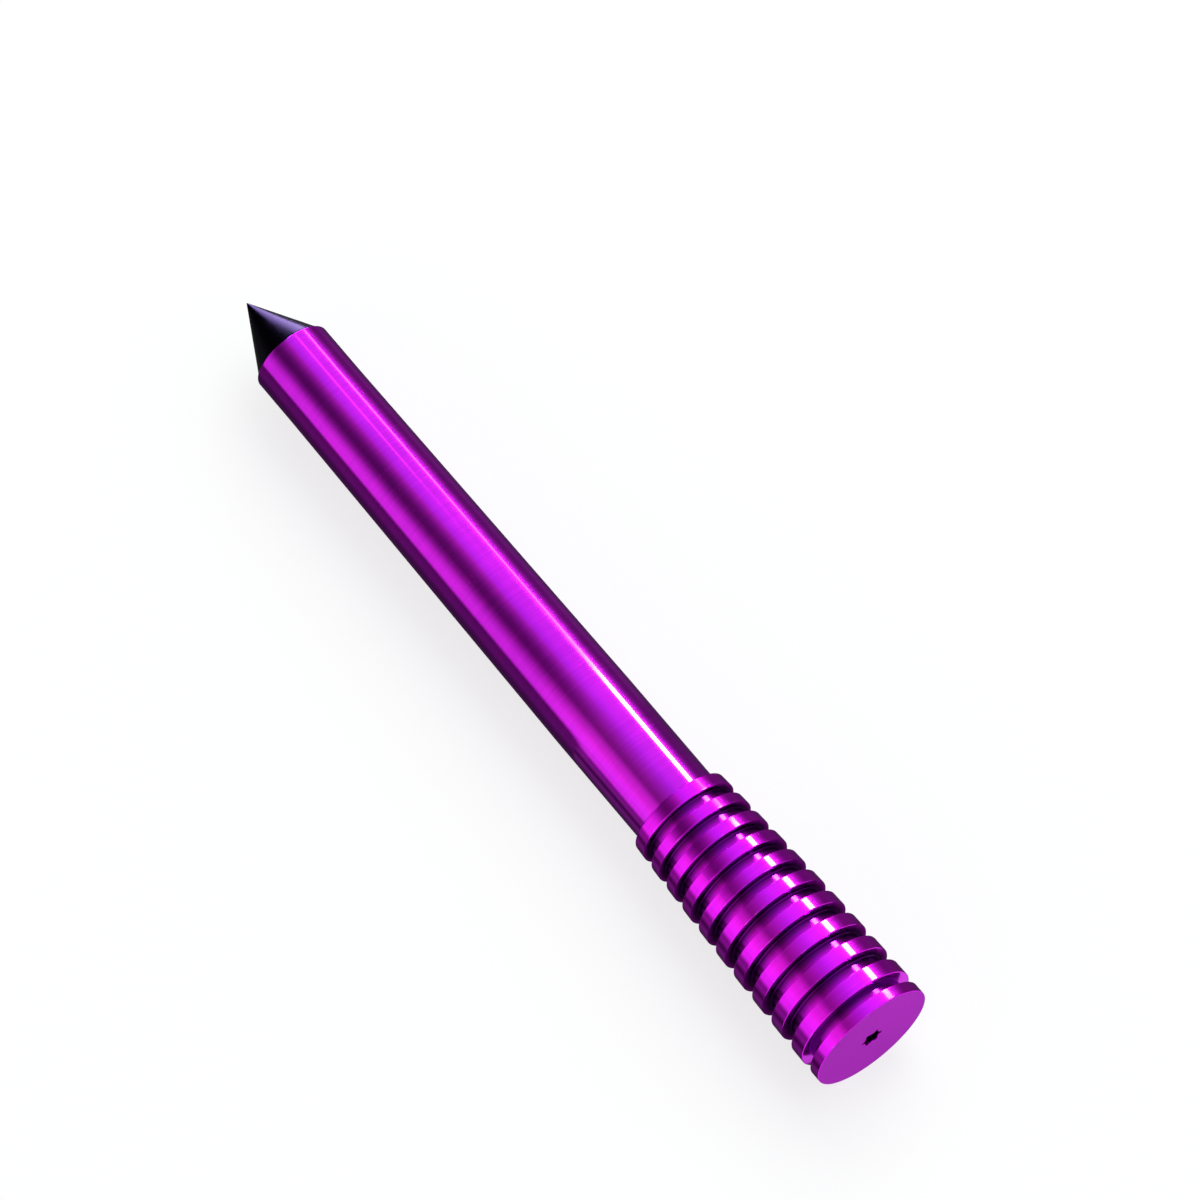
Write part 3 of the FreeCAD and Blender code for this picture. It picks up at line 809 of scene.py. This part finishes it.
def makeFlag(name, look):
    low, high, axis = look["low"], look["high"], look["axis"]
    material, position = newMaterial(name)
    across = position.node("ShaderNodeSeparateXYZ", None, {"Vector": position}, axis)
    reach = high[axis] - low[axis]
    stops = [((place - low[axis]) / reach, grey(level)) for place, level in look["stops"]]
    share = (across - low[axis]) / reach
    colour = share.node("ShaderNodeValToRGB", {"stops": stops}, {"Fac": share})
    show(position.node("ShaderNodeEmission", None, {"Color": colour}))
    flag = stagePlane(name, flagCorners(look), material)
    flag.visible_camera = False
    flag.visible_diffuse = False
    flag.visible_transmission = False
    flag.visible_shadow = False


for flagName, flagLook in flags.items():
    makeFlag(flagName, flagLook)


# Studio: a soft sky in bands that run along the instrument, and lamps

sky = {
    # degrees from overhead, towards the upper right of the picture, with brightness and warmth
    "bands": [
        (-180, 1.00, 0.0),
        (-90, 1.20, 0.7),
        (-76, 1.20, 0.8),
        (-68, 1.02, 0.9),
        (-60, 0.88, 0.9),
        (-53, 0.84, 0.9),
        (-45, 0.54, 0.8),
        (-38, 0.29, 0.6),
        (-31, 0.32, 0.3),
        (-24, 0.39, 0.0),
        (-17, 0.49, -0.4),
        (-10, 0.58, -0.7),
        (-3, 0.68, -0.9),
        (4, 0.80, -1.0),
        (11, 0.92, -0.9),
        (18, 1.00, -0.7),
        (33, 1.04, -0.4),
        (52, 1.04, -0.4),
        (61, 0.85, -0.6),
        (70, 0.50, -1.0),
        (90, 0.40, -1.0),
        (180, 1.00, 0.0),
    ],
    "warm": (1.10, 0.96, 0.92),
    "cool": (0.82, 0.96, 1.13),
    "brightest": 1.3,
    "horizonTop": 0.34,
    "horizonFull": 0.10,
    "horizon": 1.16,
}


def skyColour(brightness, warmth):
    tint = sky["warm"] if warmth > 0 else sky["cool"]
    share = abs(warmth)
    return tuple(brightness / sky["brightest"] * (1 + (part - 1) * share) for part in tint) + (1.0,)


def makeSky():
    world = bpy.data.worlds.new("studioSky")
    bpy.context.scene.world = world
    world.use_nodes = True
    world.node_tree.nodes.clear()
    start = Wire(world.node_tree)
    direction = start.node("ShaderNodeTexCoord", output="Generated")
    x = start.node("ShaderNodeSeparateXYZ", None, {"Vector": direction})
    across = start.maths("ARCTAN2", x.sibling("Y"), x.sibling("Z"))
    place = across / (2 * math.pi) + 0.5
    stops = [(angle / 360 + 0.5, skyColour(level, warmth)) for angle, level, warmth in sky["bands"]]
    bands = place.node("ShaderNodeValToRGB", {"stops": stops}, {"Fac": place})
    backdrop = 1 - fade(x.sibling("Z"), sky["horizonFull"], sky["horizonTop"])
    colour = blendColours(backdrop, bands, grey(sky["horizon"] / sky["brightest"]))
    shine = start.node("ShaderNodeBackground", None, {"Color": colour, "Strength": sky["brightest"]})
    start.node("ShaderNodeOutputWorld", None, {"Surface": shine})


lamps = {
    # lit: the place on the axis that it lights; degrees across and along; sizes in metres
    "softKey": {
        "lit": 0.0, "across": 32, "along": -20, "distance": 3.0, "length": 2.2, "width": 2.2,
        "radiance": 3.0, "colour": (1.0, 1.0, 0.97), "spread": 180, "glossy": False,
    },
    "tubeStrip": {
        "lit": -0.051, "across": 58.5, "along": -21, "distance": 0.5, "length": 0.145, "width": 0.035,
        "radiance": 11.0, "colour": (1.0, 0.98, 1.0), "spread": 180, "glossy": True,
    },
    "tubeLine": {
        "lit": -0.083, "across": 28, "along": -21, "distance": 0.5, "length": 0.06, "width": 0.03,
        "radiance": 1.6, "colour": (1.0, 0.98, 1.0), "spread": 180, "glossy": True,
    },
    "gripStrip": {
        "lit": 0.0555, "across": 56, "along": -21, "distance": 0.5, "length": 0.085, "width": 0.09,
        "radiance": 110.0, "colour": (0.5, 1.0, 0.5), "spread": 180, "glossy": True,
    },
    "ringCard": {
        "lit": 0.040, "across": 87, "along": -62, "distance": 0.118, "length": 0.02, "width": 0.02,
        "radiance": 1.5, "colour": (1.0, 0.96, 1.0), "spread": 60, "glossy": True,
    },
    "coneCard": {
        "lit": -0.0633, "across": 84.7, "along": -57, "distance": 0.034, "length": 0.024, "width": 0.016,
        "radiance": 7.6, "colour": (1.0, 0.76, 1.6), "spread": 180, "glossy": True,
    },
}


def makeLamp(name, look):
    across = math.radians(look["across"])
    along = math.radians(look["along"])
    aim = Vector((math.sin(along), math.cos(along) * math.sin(across), math.cos(along) * math.cos(across)))
    lamp = bpy.data.lights.new(name, "AREA")
    lamp.shape = "RECTANGLE"
    lamp.size = look["length"]
    lamp.size_y = look["width"]
    lamp.energy = math.pi * look["length"] * look["width"] * look["radiance"]
    lamp.color = look["colour"]
    lamp.spread = math.radians(look["spread"])
    holder = bpy.data.objects.new(name, lamp)
    side = axisX - aim * axisX.dot(aim)
    side.normalize()
    turn = Matrix((side, aim.cross(side), aim)).transposed()
    start = Vector((look["lit"], 0, axisHeight))
    holder.matrix_world = Matrix.Translation(start + aim * look["distance"]) @ turn.to_4x4()
    holder.visible_camera = False
    holder.visible_glossy = look["glossy"]
    holder.visible_diffuse = not look["glossy"]
    bpy.context.scene.collection.objects.link(holder)


makeSky()
for lampName, lampLook in lamps.items():
    makeLamp(lampName, lampLook)
print("studio lit")


# Camera

view = {
    "azimuth": 52.61,
    "elevation": 63.02,
    "distance": 0.9873,
    "lens": 225.0,
    "sensor": 36.0,
    "right": 6.36 * mm,
    "up": 8.10 * mm,
}


def makeCamera():
    turn = math.radians(view["azimuth"] - 90)
    lift = math.radians(view["elevation"])
    back = Vector((math.cos(lift) * math.cos(turn), math.cos(lift) * math.sin(turn), math.sin(lift)))
    right = Vector((-math.sin(turn), math.cos(turn), 0))
    up = back.cross(right)
    target = Vector((0, 0, axisHeight)) + right * view["right"] + up * view["up"]
    data = bpy.data.cameras.new("camera")
    data.sensor_width = view["sensor"]
    data.lens = view["lens"]
    data.clip_start = 0.01
    data.clip_end = 60
    camera = bpy.data.objects.new("camera", data)
    turned = Matrix((right, up, back)).transposed().to_4x4()
    camera.matrix_world = Matrix.Translation(target + back * view["distance"]) @ turned
    bpy.context.scene.collection.objects.link(camera)
    bpy.context.scene.camera = camera


makeCamera()
bpy.context.scene.view_settings.view_transform = "Standard"
print("camera set")
